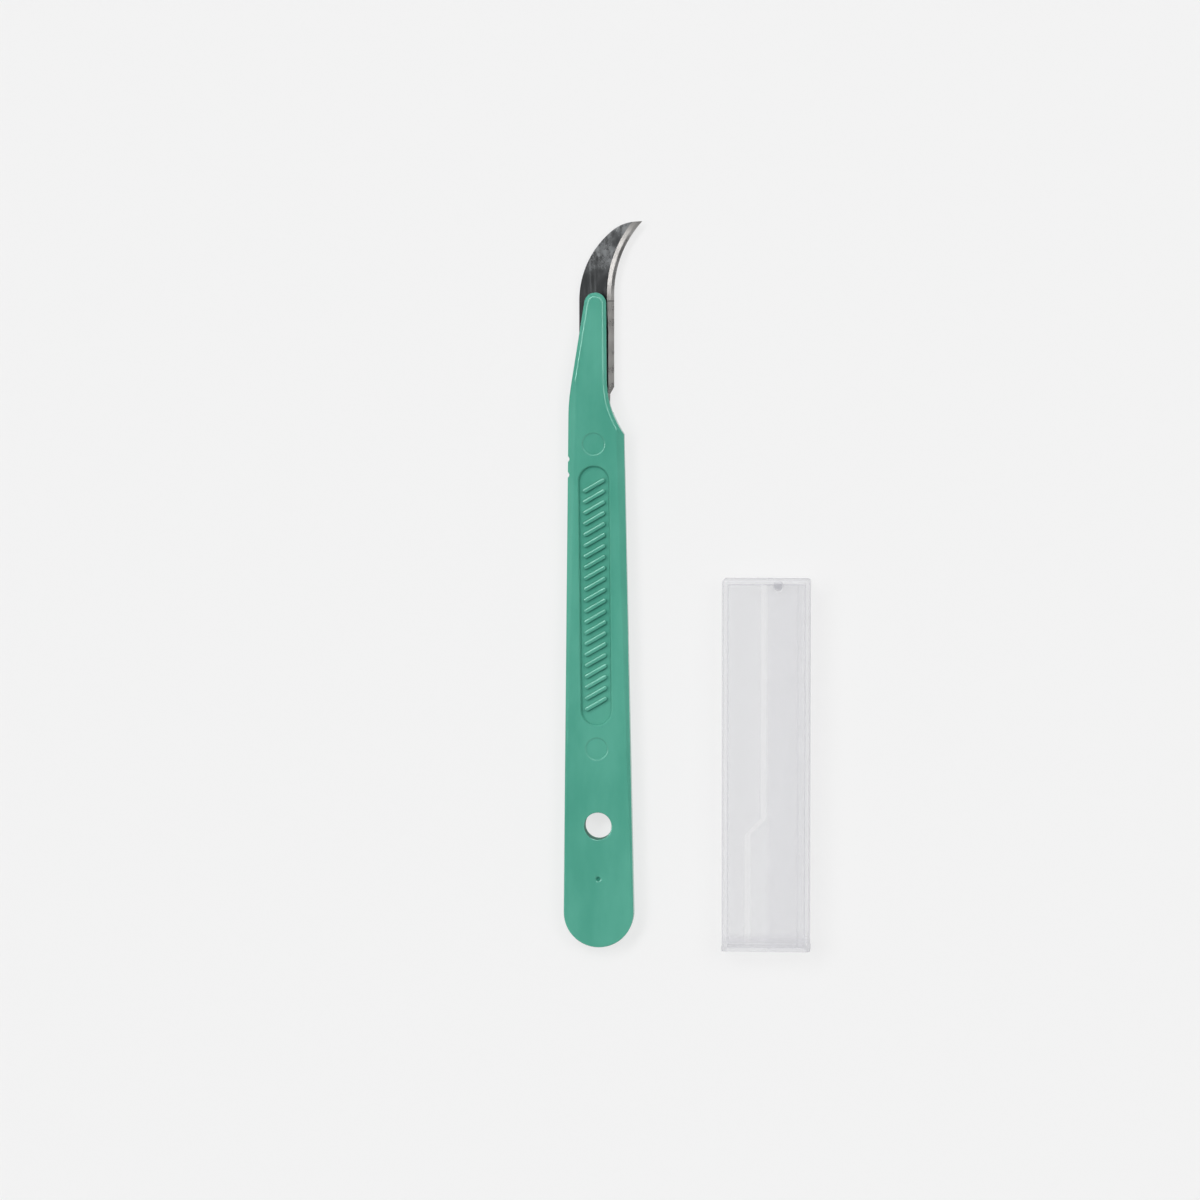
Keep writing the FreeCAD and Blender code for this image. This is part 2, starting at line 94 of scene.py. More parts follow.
# The wheel's lines are this many times as long as they are wide, and change the roughness by these factors
LINE_LENGTH = 12
LINE_LEAST, LINE_MOST = 0.96, 1.04
WAVE_LEAST, WAVE_MOST = 0.86, 1.16
# The thin dark line of painted shade where the two grinds meet, at the change of grind: half its width,
# where it ends, and what shows through it
SEAM_HALF_WIDTH, SEAM_END, SEAM_CLEARNESS = 0.04 * MM, 0.2 * MM, 0.45
# Oil lies in patches this many smudges wide, drawn out a little along the blade, and was wiped in
# long streaks
PATCH_SIZE = 2.5
SMEAR_STRETCH = (1.0, 0.7, 1.0)
WIPING_STRETCH, WIPING_TURN = (3.2, 0.22, 1.0), (0.0, 0.0, math.radians(4.0))
# The least oil by the handle and between patches, and what is added at the point, where it is handled
OIL_BY_HANDLE, OIL_BETWEEN, OIL_AT_POINT = 0.1, 0.35, 0.16
# Painted shade beside the tongue's right flank: X where it begins and is at its full, and the shares of
# open air around a point where the steel is painted darkest, and where the painted shade ends
FLANK_X, FLANK_FULL_X = 0.0, 1.2 * MM
FLANK_CLOSED, FLANK_OPEN = 0.55, 0.97

# Guard. Upward part of the normal on its inner ramps: from none, to full, to full, to none
RAMP_NORMALS = (0.88, 0.94, 0.98, 0.995)
# Upward part of the normal at which a face counts as a side wall, and as lying flat
WALL_NORMAL, FLAT_NORMAL = 0.1, 0.4
# How far the walls reach in from the outside, at the sides and at the closed end, and the blur of
# their inner border
SIDE_WALL, END_WALL, WALL_BLUR = 1.3 * MM, 1.5 * MM, 0.2 * MM
# Painted shade at the mouth, from its end inwards, and the right half, made darker, from the middle
MOUTH_FROM, MOUTH_TO = 0.5 * MM, 4 * MM
HALF_FROM, HALF_TO = -1 * MM, 1.5 * MM
# Painted shade seen through the window, on the lower wall: right of the middle, below the closed end,
# and the radii where it begins and ceases to clear
SPOT_RIGHT, SPOT_BELOW, SPOT_FULL, SPOT_END = 2.2 * MM, 1.75 * MM, 0.7 * MM, 1.1 * MM
# How far from edge-on a wall starts to look dense, and the share of its milky light that goes through it
EDGE_ON, SHINES_THROUGH = 0.16, 0.5

# Studio. What the camera is aimed at, the floor's width, and each softbox's offset from the aim and
# its size, in metres
AIM = Vector((0.43 * MM, 45.3 * MM, HANDLE_HIGH.z))
FLOOR_SIZE = 6
OVERHEAD_OFFSET, OVERHEAD_SIZE = (0.84, -1.0, 2.4), (1.2, 1.4)
TOP_OFFSET, TOP_SIZE = (0.2, 1.0, 2.4), (0.5, 0.5)
FLOOR_GRAIN, FLOOR_GRAIN_DEPTH = 0.8 * MM, 0.01 * MM
# Banks of lamps, in degrees: middle and half width around from +X, and top and bottom from straight up
LEFT_BANK = (145, 42, 33, 46)
RIGHT_BANK = (30, 34, 33, 43)
# How softly a bank ends, as cosines of the angle around and the angle up
END_BLUR, TOP_BLUR, BOTTOM_BLUR = 0.08, 0.015, 0.02
# Flat steel under the camera mirrors the dark opening in this direction, which is even up to this
# share of its reach
OPENING_DIRECTION = (0.03, -0.02, 1.0)
OPENING_CORE = 0.45
# Heights, as sines, between which the white walls give way to the tent
WALLS_TOP, TENT_FROM = 0.2, 0.4


def colour(code):
    """An sRGB hex colour as the linear red, green, blue and alpha that Blender's nodes take."""
    parts = [int(code[i:i + 2], 16) / 255 for i in (1, 3, 5)]
    return [p / 12.92 if p <= 0.04045 else ((p + 0.055) / 1.055) ** 2.4 for p in parts] + [1.0]


def add_node(tree, kind, inputs=None, **settings):
    """Adds one node with its settings and links.

    An input takes a value, an output to link, or a node, whose first output in use is linked.
    """
    node = tree.nodes.new(kind)
    for name, value in settings.items():
        setattr(node, name, value)
    for socket, value in (inputs or {}).items():
        if isinstance(value, bpy.types.Node):
            value = next(output for output in value.outputs if output.enabled)
        if isinstance(value, bpy.types.NodeSocket):
            tree.links.new(value, node.inputs[socket])
        else:
            node.inputs[socket].default_value = value
    return node


def flat_distance(tree, place, x, y):
    """How far a point lies from an upright line at X and Y."""
    offset = add_node(tree, "ShaderNodeVectorMath", {0: place, 1: (x, y, 0.0)}, operation="SUBTRACT")
    level = add_node(tree, "ShaderNodeVectorMath", {0: offset, 1: (1.0, 1.0, 0.0)}, operation="MULTIPLY")
    return add_node(tree, "ShaderNodeVectorMath", {0: level}, operation="LENGTH")


def new_material(name):
    """An empty node material with its output, and the object's own coordinates in metres."""
    material = bpy.data.materials.new(name)
    material.use_nodes = True
    tree = material.node_tree
    tree.nodes.clear()
    output = add_node(tree, "ShaderNodeOutputMaterial")
    place = add_node(tree, "ShaderNodeTexCoord").outputs["Object"]
    return material, tree, output, place


def dress(node, material):
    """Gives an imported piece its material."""
    node.data.materials.clear()
    node.data.materials.append(material)


class ScalpelHandleLook(bpy.types.PropertyGroup):
    """The moulded handle's finish."""
    body: bpy.props.FloatVectorProperty(
        name="Body", description="Colour of the green plastic", subtype="COLOR", size=4,
        default=colour("#489682"), min=0, max=1)
    swirl: bpy.props.FloatVectorProperty(
        name="Swirl", description="Colour of the faint clouds that the melt's flow leaves",
        subtype="COLOR", size=4, default=colour("#53a08c"), min=0, max=1)
    swirl_size: bpy.props.FloatProperty(
        name="Swirl size", description="Distance across one cloud", unit="LENGTH",
        default=7 * MM, min=MM, max=0.1)
    gloss_tint: bpy.props.FloatVectorProperty(
        name="Gloss tint", description="Colour that the green pigment gives to the gloss", subtype="COLOR",
        size=4, default=colour("#dcf7ee"), min=0, max=1)
    # Painted shade: the colour mixed in deep in corners, in the gate's dimple and on the hanging hole's
    # wall
    crease_shade: bpy.props.FloatVectorProperty(
        name="Crease", description="Colour of the plastic deep in the corners of ribs and recess",
        subtype="COLOR", size=4, default=colour("#25705e"), min=0, max=1)
    crease_shade_reach: bpy.props.FloatProperty(
        name="Crease reach", description="How far from a corner the plastic looks darker", unit="LENGTH",
        default=0.9 * MM, min=0.05 * MM, max=10 * MM)
    grain_size: bpy.props.FloatProperty(
        name="Grain size", description="Distance across one pit of the mould's satin surface",
        unit="LENGTH", default=0.25 * MM, min=0.05 * MM, max=5 * MM)
    grain_depth: bpy.props.FloatProperty(
        name="Grain depth", description="Height of the satin surface's grain",
        unit="LENGTH", default=0.004 * MM, min=0, max=0.1 * MM)
    rim_height: bpy.props.FloatProperty(
        name="Rim height", description="Height of the soft rims around pin marks, gate mark and hole",
        unit="LENGTH", default=0.048 * MM, min=0, max=MM)
    roughness: bpy.props.FloatProperty(
        name="Roughness", description="Mean roughness of the plastic", default=0.2, min=0, max=1)


class ScalpelBladeLook(bpy.types.PropertyGroup):
    """The steel blade's finish."""
    rolled: bpy.props.FloatVectorProperty(
        name="Rolled steel", description="Colour of the blade's flat, rolled sides",
        subtype="COLOR", size=4, default=colour("#a9acae"), min=0, max=1)
    # Painted shade: colour painted on the steel beside the tongue's right flank, for the tongue's dark side
    # mirrored there
    painted_shade: bpy.props.FloatVectorProperty(
        name="Shade", description="Colour of the steel where it mirrors the tongue's dark side",
        subtype="COLOR", size=4, default=colour("#1c2927"), min=0, max=1)
    painted_shade_reach: bpy.props.FloatProperty(
        name="Shade reach", description="How far from the tongue the steel looks darker", unit="LENGTH",
        default=1.6 * MM, min=0.05 * MM, max=10 * MM)
    # Painted highlight: this bright colour is painted on the hollow bevel's belly, where it catches the
    # light, and fades to the finely ground colour towards the ends
    ground_highlight: bpy.props.FloatVectorProperty(
        name="Ground steel", description="Colour of the bevel along the hollow edge",
        subtype="COLOR", size=4, default=colour("#e6e3e0"), min=0, max=1)
    fine_ground: bpy.props.FloatVectorProperty(
        name="Finely ground steel", description="Colour of the bevel along the straight edge",
        subtype="COLOR", size=4, default=colour("#b9b7b4"), min=0, max=1)
    honed: bpy.props.FloatVectorProperty(
        name="Honed steel", description="Colour of the narrow rim at the cutting edge",
        subtype="COLOR", size=4, default=colour("#b4b3b2"), min=0, max=1)
    curved_grind: bpy.props.FloatProperty(
        name="Hollow bevel", description="Width of the bevel along the hollow edge", unit="LENGTH",
        default=1.42 * MM, min=0.1 * MM, max=5 * MM)
    curved_hone: bpy.props.FloatProperty(
        name="Hollow rim", description="Width of the honed rim along the hollow edge", unit="LENGTH",
        default=0.62 * MM, min=0.1 * MM, max=5 * MM)
    straight_grind: bpy.props.FloatProperty(
        name="Straight bevel", description="Width of the bevel along the straight edge", unit="LENGTH",
        default=1.15 * MM, min=0.1 * MM, max=5 * MM)
    straight_hone: bpy.props.FloatProperty(
        name="Straight rim", description="Width of the honed rim along the straight edge", unit="LENGTH",
        default=0.5 * MM, min=0.1 * MM, max=5 * MM)
    line_spacing: bpy.props.FloatProperty(
        name="Grinding lines", unit="LENGTH",
        description="Distance between the wheel's lines, drawn coarser than real so that they show",
        default=0.16 * MM, min=0.01 * MM, max=MM)
    line_depth: bpy.props.FloatProperty(
        name="Line depth", description="Depth of the wheel's lines", unit="LENGTH", default=0.0003 * MM,
        min=0, max=0.1 * MM)
    wave_length: bpy.props.FloatProperty(
        name="Wheel waves", description="Distance between slow light and dark waves along the bevels",
        unit="LENGTH", default=3.5 * MM, min=0.1 * MM, max=50 * MM)
    smudge_size: bpy.props.FloatProperty(
        name="Smudge size", description="Distance across one smudge of the protecting oil",
        unit="LENGTH", default=1.6 * MM, min=0.1 * MM, max=20 * MM)
    film_from: bpy.props.FloatProperty(
        name="Film from", description="Where the oily film starts, along the blade", unit="LENGTH",
        default=108 * MM, min=0, max=0.2)
    film_to: bpy.props.FloatProperty(
        name="Film to", description="Where the oily film is at its full, along the blade", unit="LENGTH",
        default=114 * MM, min=0, max=0.2)


class ScalpelGuardLook(bpy.types.PropertyGroup):
    """The frosted blade guard's finish."""
    plastic: bpy.props.FloatVectorProperty(
        name="Plastic", description="Colour of the frosted plastic", subtype="COLOR", size=4,
        default=colour("#dadade"), min=0, max=1)
    clearness: bpy.props.FloatProperty(
        name="Clearness", description="Share of the light that goes straight through one surface",
        default=0.872, min=0, max=1)
    ramp_clearness: bpy.props.FloatProperty(
        name="Ramp clearness", description="The same share on the slopes that lead up to the pads inside",
        default=0.98, min=0, max=1)
    wall_clearness: bpy.props.FloatProperty(
        name="Walls", description="What is left of the clearness in the side walls and the closed end",
        default=0.88, min=0, max=1)
    # Painted shade: the mouth is made less clear, which darkens it as shade would
    mouth_shade_clearness: bpy.props.FloatProperty(
        name="Mouth", description="What is left of the clearness at the mouth, where the wall is thicker",
        default=0.825, min=0, max=1)
    # The right half is made less clear, which makes it look darker
    darker_half_clearness: bpy.props.FloatProperty(
        name="Milkier half", description="What is left of the clearness in the guard's right half",
        default=0.955, min=0, max=1)
    # Painted shade: the lower wall under the window is made nearly opaque, so the window looks dark as its
    # shaded inside would
    window_shade_clearness: bpy.props.FloatProperty(
        name="Gate", description="Share that goes straight through at the cloudy spot below the window",
        default=0.25, min=0, max=1)
    edge_density: bpy.props.FloatProperty(
        name="Edge density", description="How dense a side wall looks edge-on, against a flat one",
        default=0.5, min=0, max=1)
    roughness: bpy.props.FloatProperty(
        name="Roughness", description="Mean roughness of the frosted skin", default=0.38, min=0, max=1)
    frost_size: bpy.props.FloatProperty(
        name="Frost size", description="Distance across one cloud of the frosting",
        unit="LENGTH", default=5 * MM, min=0.1 * MM, max=50 * MM)


class ScalpelStudioLook(bpy.types.PropertyGroup):
    """The studio: floor, lights and camera."""
    floor: bpy.props.FloatVectorProperty(
        name="Floor", description="Colour of the pale floor", subtype="COLOR", size=4,
        default=colour("#6f6f6f"), min=0, max=1)
    floor_glow: bpy.props.FloatProperty(
        name="Floor glow", description="Light that comes up through the floor and lightens the shadows",
        default=0.712, min=0, max=10)
    overhead_power: bpy.props.FloatProperty(
        name="Overhead light", description="Power of the panel above, in watts", default=2.6,
        min=0, max=100)
    top_power: bpy.props.FloatProperty(
        name="Top light", description="Power of the softbox close to the camera, in watts", default=6.0,
        min=0, max=100)
    tent_light: bpy.props.FloatProperty(
        name="Tent", description="Brightness of the light tent's white cloth", default=0.2, min=0, max=10)
    wall_light: bpy.props.FloatProperty(
        name="Walls", description="Brightness of the white walls around the tent", default=0.9,
        min=0, max=10)
    left_bank: bpy.props.FloatProperty(
        name="Left bank", description="Brightness of the curved bank of lamps at the upper left",
        default=10, min=0, max=50)
    right_bank: bpy.props.FloatProperty(
        name="Right bank", description="Brightness of the curved bank of lamps at the right",
        default=7.8, min=0, max=50)
    opening_light: bpy.props.FloatProperty(
        name="Opening", description="Brightness of the tent's opening above", default=0.085, min=0, max=10)
    opening_width: bpy.props.FloatProperty(
        name="Opening width", description="Half the opening's width, as the sine of its angle",
        default=0.36, min=0.01, max=1)
    opening_height: bpy.props.FloatProperty(
        name="Opening height", description="Half the opening's height, as the sine of its angle",
        default=0.22, min=0.01, max=1)
    frame_width: bpy.props.FloatProperty(
        name="Frame width", description="Width of what the camera sees at the handle's upper face",
        unit="LENGTH", default=0.2392, min=0.05, max=2)
    camera_distance: bpy.props.FloatProperty(
        name="Camera distance", description="From the camera to the point that it is aimed at",
        unit="LENGTH", default=1.0, min=0.2, max=5)
    lean_right: bpy.props.FloatProperty(
        name="Lean right", description="How far the camera leans from upright, to the cutting side",
        subtype="ANGLE", default=math.radians(4.0), min=-1, max=1)
    lean_up: bpy.props.FloatProperty(
        name="Lean up", description="How far the camera leans from upright, to the blade's point",
        subtype="ANGLE", default=math.radians(3.5), min=-1, max=1)


def build_green_plastic(look):
    """Injection-moulded ABS in opaque green, from a finely etched mould.

    The eye sees one even colour with faint clouds from the melt's flow, painted shade in the corners, in
    the gate's dimple and on the hanging hole's wall, thin rims where pins and gate met the mould, and a
    soft satin gloss with a trace of the pigment's green.
    """
    material, tree, output, place = new_material("moulded_green_plastic")
    flow = add_node(tree, "ShaderNodeMapping", {"Vector": place, "Scale": FLOW_STRETCH})
    clouds = add_node(tree, "ShaderNodeTexNoise", {
        "Vector": flow, "Scale": 1 / look.swirl_size, "Detail": 4.0, "Roughness": 0.55})
    swirls = add_node(tree, "ShaderNodeMapRange", {
        "Value": clouds, "From Min": NOISE_LOW, "From Max": NOISE_HIGH}, interpolation_type="SMOOTHSTEP")
    tint = add_node(tree, "ShaderNodeMix", {
        "Factor": swirls, FIRST_COLOUR: tuple(look.body), SECOND_COLOUR: tuple(look.swirl)},
        data_type="RGBA")

    # Painted shade: corners under the light from the upper left, the gate's dimple and the hole's wall are
    # mixed towards the crease colour
    upright = add_node(tree, "ShaderNodeNewGeometry").outputs["Normal"]
    leaning = add_node(tree, "ShaderNodeVectorMath", {0: upright, 1: CORNER_LEAN})
    air = add_node(tree, "ShaderNodeAmbientOcclusion", {
        "Distance": look.crease_shade_reach, "Normal": leaning}, samples=8, only_local=True).outputs["AO"]
    plain = add_node(tree, "ShaderNodeMapRange", {
        "Value": air, "From Min": CORNER_CLOSED, "From Max": CORNER_OPEN}, interpolation_type="SMOOTHSTEP")
    plain = add_node(tree, "ShaderNodeMapRange", {
        "Value": flat_distance(tree, place, *GATE_MARK), "From Max": GATE_RADIUS, "To Max": plain},
        interpolation_type="SMOOTHSTEP")
    from_hole = flat_distance(tree, place, 0.0, 0.0)
    plain = add_node(tree, "ShaderNodeMapRange", {
        "Value": from_hole, "From Min": HOLE_WALL_FROM, "From Max": HOLE_WALL_TO, "To Max": plain},
        interpolation_type="SMOOTHSTEP")
    painted_shading = add_node(tree, "ShaderNodeMix", {
        "Factor": plain, FIRST_COLOUR: tuple(look.crease_shade), SECOND_COLOUR: tint}, data_type="RGBA")

    satin = add_node(tree, "ShaderNodeMapRange", {
        "Value": swirls,
        "To Min": look.roughness - ROUGHNESS_SPREAD, "To Max": look.roughness + ROUGHNESS_SPREAD},
        interpolation_type="SMOOTHSTEP")
    rough = add_node(tree, "ShaderNodeMapRange", {
        "Value": from_hole, "From Min": HOLE_WALL_FROM, "From Max": HOLE_WALL_TO,
        "To Min": HOLE_WALL_ROUGHNESS, "To Max": satin}, interpolation_type="SMOOTHSTEP")

    grain = add_node(tree, "ShaderNodeTexNoise", {
        "Vector": place, "Scale": 1 / look.grain_size, "Detail": 2.0, "Roughness": 0.5})
    etched = add_node(tree, "ShaderNodeBump", {
        "Height": grain, "Distance": look.grain_depth, "Strength": 1.0})
    height = 0.0
    for x, y, inside, outside in RIMS:
        step = add_node(tree, "ShaderNodeMapRange", {
            "Value": flat_distance(tree, place, x, y), "From Min": inside, "From Max": outside},
            interpolation_type="SMOOTHSTEP")
        height = add_node(tree, "ShaderNodeMath", {0: height, 1: step}, operation="ADD")
    rims = add_node(tree, "ShaderNodeBump", {
        "Height": height, "Distance": look.rim_height, "Strength": 1.0, "Normal": etched})

    shader = add_node(tree, "ShaderNodeBsdfPrincipled", {
        "Base Color": painted_shading, "Roughness": rough, "Normal": rims, "IOR": 1.54,
        "Specular IOR Level": 0.8, "Specular Tint": tuple(look.gloss_tint)})
    tree.links.new(shader.outputs["BSDF"], output.inputs["Surface"])
    return material


def edge_distance(tree, parts):
    """How far a point lies behind the cutting edge, and where along the edge, in metres."""
    across = add_node(tree, "ShaderNodeMath", {0: EDGE_CENTRE.x, 1: parts["X"]}, operation="SUBTRACT")
    past = add_node(tree, "ShaderNodeMath", {0: parts["Y"], 1: EDGE_CENTRE.y}, operation="SUBTRACT")
    rise = add_node(tree, "ShaderNodeMath", {0: past, 1: 0.0}, operation="MAXIMUM")
    spoke = add_node(tree, "ShaderNodeCombineXYZ", {"X": across, "Y": rise})
    reach = add_node(tree, "ShaderNodeVectorMath", {0: spoke}, operation="LENGTH")
    behind = add_node(tree, "ShaderNodeMath", {0: reach, 1: EDGE_RADIUS}, operation="SUBTRACT")
    turn = add_node(tree, "ShaderNodeMath", {0: rise, 1: across}, operation="ARCTAN2")
    before = add_node(tree, "ShaderNodeMath", {0: past, 1: 0.0}, operation="MINIMUM")
    along = add_node(tree, "ShaderNodeMath", {0: turn, 1: EDGE_RADIUS, 2: before}, operation="MULTIPLY_ADD")
    return behind, along


def rolled_side(tree, place, parts, look):
    """The colour and roughness of the rolled sides: bright steel under a smeared film of oil."""
    handled = add_node(tree, "ShaderNodeMapRange", {
        "Value": parts["Y"], "From Min": look.film_from, "From Max": look.film_to, "To Min": OIL_BY_HANDLE},
        interpolation_type="SMOOTHSTEP")
    patches = add_node(tree, "ShaderNodeTexNoise", {
        "Vector": place, "Scale": 1 / (PATCH_SIZE * look.smudge_size), "Detail": 2.0, "Roughness": 0.5})
    patchy = add_node(tree, "ShaderNodeMapRange", {
        "Value": patches, "From Min": PATCH_LOW, "From Max": PATCH_HIGH, "To Min": OIL_BETWEEN},
        interpolation_type="SMOOTHSTEP")
    handled = add_node(tree, "ShaderNodeMath", {0: handled, 1: patchy}, operation="MULTIPLY")
    smeared = add_node(tree, "ShaderNodeMapping", {"Vector": place, "Scale": SMEAR_STRETCH})
    film = add_node(tree, "ShaderNodeTexNoise", {
        "Vector": smeared, "Scale": 1 / look.smudge_size, "Detail": 9.0, "Roughness": 0.75})
    oil = add_node(tree, "ShaderNodeMapRange", {
        "Value": film, "From Min": FILM_LOW, "From Max": FILM_HIGH, "To Max": handled},
        interpolation_type="SMOOTHSTEP")
    at_point = add_node(tree, "ShaderNodeMapRange", {
        "Value": parts["Y"], "From Min": look.film_to, "From Max": BLADE_HIGH.y, "To Max": OIL_AT_POINT},
        interpolation_type="SMOOTHSTEP")
    oil = add_node(tree, "ShaderNodeMath", {0: oil, 1: at_point}, operation="ADD")

    streaks = add_node(tree, "ShaderNodeMapping", {
        "Vector": place, "Rotation": WIPING_TURN, "Scale": WIPING_STRETCH})
    wear = add_node(tree, "ShaderNodeTexNoise", {
        "Vector": streaks, "Scale": 1 / look.smudge_size, "Detail": 3.0, "Roughness": 0.6})
    wiped = add_node(tree, "ShaderNodeMapRange", {
        "Value": wear, "From Min": WIPED_LOW, "From Max": WIPED_HIGH,
        "To Min": ROLLED_ROUGHNESS, "To Max": WIPED_ROUGHNESS}, interpolation_type="SMOOTHSTEP")
    rough = add_node(tree, "ShaderNodeMix", {
        "Factor": oil, FIRST_NUMBER: wiped, SECOND_NUMBER: OILY_ROUGHNESS}, data_type="FLOAT")

    # Painted shade: near the tongue's right flank the steel is mixed towards the painted shade colour
    air = add_node(tree, "ShaderNodeAmbientOcclusion", {
        "Distance": look.painted_shade_reach}, samples=8).outputs["AO"]
    on_flank = add_node(tree, "ShaderNodeMapRange", {
        "Value": parts["X"], "From Min": FLANK_X, "From Max": FLANK_FULL_X},
        interpolation_type="SMOOTHSTEP")
    painted_shading = add_node(tree, "ShaderNodeMapRange", {
        "Value": air, "From Min": FLANK_CLOSED, "From Max": FLANK_OPEN, "To Min": on_flank, "To Max": 0.0},
        interpolation_type="SMOOTHSTEP")
    tint = add_node(tree, "ShaderNodeMix", {
        "Factor": painted_shading, FIRST_COLOUR: tuple(look.rolled), SECOND_COLOUR: tuple(look.painted_shade)},
        data_type="RGBA")
    return tint, rough


def ground_edge(tree, behind, along, lines, look):
    """The colour and roughness of the ground bevels and their honed rim."""
    # Painted highlight: the belly of the hollow bevel is mixed towards the bright ground colour
    rising = add_node(tree, "ShaderNodeMapRange", {
        "Value": along, "From Min": GRIND_CHANGE, "From Max": BELLY_FULL}, interpolation_type="SMOOTHSTEP")
    belly_highlight = add_node(tree, "ShaderNodeMapRange", {
        "Value": along, "From Min": BELLY_FADES, "From Max": BELLY_ENDS, "To Min": rising, "To Max": 0.0},
        interpolation_type="SMOOTHSTEP")
    at_change = {
        "Value": along, "From Min": GRIND_CHANGE - CHANGE_BLUR, "From Max": GRIND_CHANGE + CHANGE_BLUR}

    hollow_tint = add_node(tree, "ShaderNodeMix", {
        "Factor": belly_highlight, FIRST_COLOUR: tuple(look.fine_ground), SECOND_COLOUR: tuple(look.ground_highlight)},
        data_type="RGBA")
    curved = add_node(tree, "ShaderNodeMapRange", at_change, interpolation_type="SMOOTHSTEP")
    tint = add_node(tree, "ShaderNodeMix", {
        "Factor": curved, FIRST_COLOUR: tuple(look.fine_ground), SECOND_COLOUR: hollow_tint},
        data_type="RGBA")
    hollow_rough = add_node(tree, "ShaderNodeMix", {
        "Factor": belly_highlight, FIRST_NUMBER: HOLLOW_ROUGHNESS, SECOND_NUMBER: BELLY_ROUGHNESS}, data_type="FLOAT")
    rough = add_node(tree, "ShaderNodeMapRange", {
        **at_change, "To Min": STRAIGHT_ROUGHNESS, "To Max": hollow_rough}, interpolation_type="SMOOTHSTEP")

    rim_width = add_node(tree, "ShaderNodeMapRange", {
        **at_change, "To Min": look.straight_hone, "To Max": look.curved_hone},
        interpolation_type="SMOOTHSTEP")
    past_rim = add_node(tree, "ShaderNodeMath", {0: behind, 1: rim_width}, operation="SUBTRACT")
    honing = add_node(tree, "ShaderNodeMix", {
        "Factor": belly_highlight, FIRST_NUMBER: HONE_AT_ENDS, SECOND_NUMBER: 1.0}, data_type="FLOAT")
    on_rim = add_node(tree, "ShaderNodeMapRange", {
        "Value": past_rim, "From Min": -HONE_BLUR, "From Max": HONE_BLUR, "To Min": honing, "To Max": 0.0},
        interpolation_type="SMOOTHSTEP")
    tint = add_node(tree, "ShaderNodeMix", {
        "Factor": on_rim, FIRST_COLOUR: tint, SECOND_COLOUR: tuple(look.honed)}, data_type="RGBA")
    rough = add_node(tree, "ShaderNodeMix", {
        "Factor": on_rim, FIRST_NUMBER: rough, SECOND_NUMBER: HONED_ROUGHNESS}, data_type="FLOAT")

    # Painted shade: a thin line in the painted shade colour where the two grinds meet
    from_change = add_node(tree, "ShaderNodeMath", {0: along, 1: GRIND_CHANGE}, operation="SUBTRACT")
    from_change = add_node(tree, "ShaderNodeMath", {0: from_change}, operation="ABSOLUTE")
    clear = add_node(tree, "ShaderNodeMapRange", {
        "Value": from_change, "From Min": SEAM_HALF_WIDTH, "From Max": SEAM_END, "To Min": SEAM_CLEARNESS},
        interpolation_type="SMOOTHSTEP")
    tint = add_node(tree, "ShaderNodeMix", {
        "Factor": clear, FIRST_COLOUR: tuple(look.painted_shade), SECOND_COLOUR: tint}, data_type="RGBA")

    way = add_node(tree, "ShaderNodeCombineXYZ", {"X": along})
    waves = add_node(tree, "ShaderNodeTexNoise", {
        "Vector": way, "Scale": 1 / look.wave_length, "Detail": 1.0})
    for pattern, low, high, least, most in (
            (lines, LINES_LOW, LINES_HIGH, LINE_LEAST, LINE_MOST),
            (waves, NOISE_LOW, NOISE_HIGH, WAVE_LEAST, WAVE_MOST)):
        change = add_node(tree, "ShaderNodeMapRange", {
            "Value": pattern, "From Min": low, "From Max": high, "To Min": least, "To Max": most},
            interpolation_type="SMOOTHSTEP")
        rough = add_node(tree, "ShaderNodeMath", {0: rough, 1: change}, operation="MULTIPLY")
    return tint, rough


def build_blade_steel(look):
    """Cold-rolled stainless strip, ground along its cutting edge.

    The rolled sides mirror the dark opening above, dulled in places by a film of protecting oil, and are
    painted nearly black beside the tongue as painted shade. The ground bevels are brighter and carry the
    wheel's fine lines across the edge, with a painted highlight on the hollow bevel's belly. Along the
    hollow edge, the honed rim is smoother and darker again.
    """
    material, tree, output, place = new_material("rolled_and_ground_steel")
    parts = add_node(tree, "ShaderNodeSeparateXYZ", {"Vector": place}).outputs
    behind, along = edge_distance(tree, parts)
    across_lines = add_node(tree, "ShaderNodeMath", {0: along, 1: look.line_spacing}, operation="DIVIDE")
    down_lines = add_node(tree, "ShaderNodeMath", {
        0: behind, 1: look.line_spacing * LINE_LENGTH}, operation="DIVIDE")
    wheel = add_node(tree, "ShaderNodeCombineXYZ", {"X": across_lines, "Y": down_lines})
    lines = add_node(tree, "ShaderNodeTexNoise", {
        "Vector": wheel, "Scale": 1.0, "Detail": 3.0, "Roughness": 0.7})

    bevel_width = add_node(tree, "ShaderNodeMapRange", {
        "Value": along, "From Min": GRIND_CHANGE - BEVEL_TAPER, "From Max": GRIND_CHANGE,
        "To Min": look.straight_grind, "To Max": look.curved_grind}, interpolation_type="SMOOTHSTEP")
    on_bevel = add_node(tree, "ShaderNodeMath", {0: behind, 1: bevel_width}, operation="LESS_THAN")
    rolled_tint, rolled_rough = rolled_side(tree, place, parts, look)
    ground_tint, ground_rough = ground_edge(tree, behind, along, lines, look)
    tint = add_node(tree, "ShaderNodeMix", {
        "Factor": on_bevel, FIRST_COLOUR: rolled_tint, SECOND_COLOUR: ground_tint}, data_type="RGBA")
    rough = add_node(tree, "ShaderNodeMix", {
        "Factor": on_bevel, FIRST_NUMBER: rolled_rough, SECOND_NUMBER: ground_rough}, data_type="FLOAT")
    depth = add_node(tree, "ShaderNodeMath", {0: lines, 1: on_bevel}, operation="MULTIPLY")
    bump = add_node(tree, "ShaderNodeBump", {"Height": depth, "Distance": look.line_depth, "Strength": 0.6})
    shader = add_node(tree, "ShaderNodeBsdfPrincipled", {
        "Base Color": tint, "Metallic": 1.0, "Roughness": rough, "Normal": bump})
    tree.links.new(shader.outputs["BSDF"], output.inputs["Surface"])
    return material


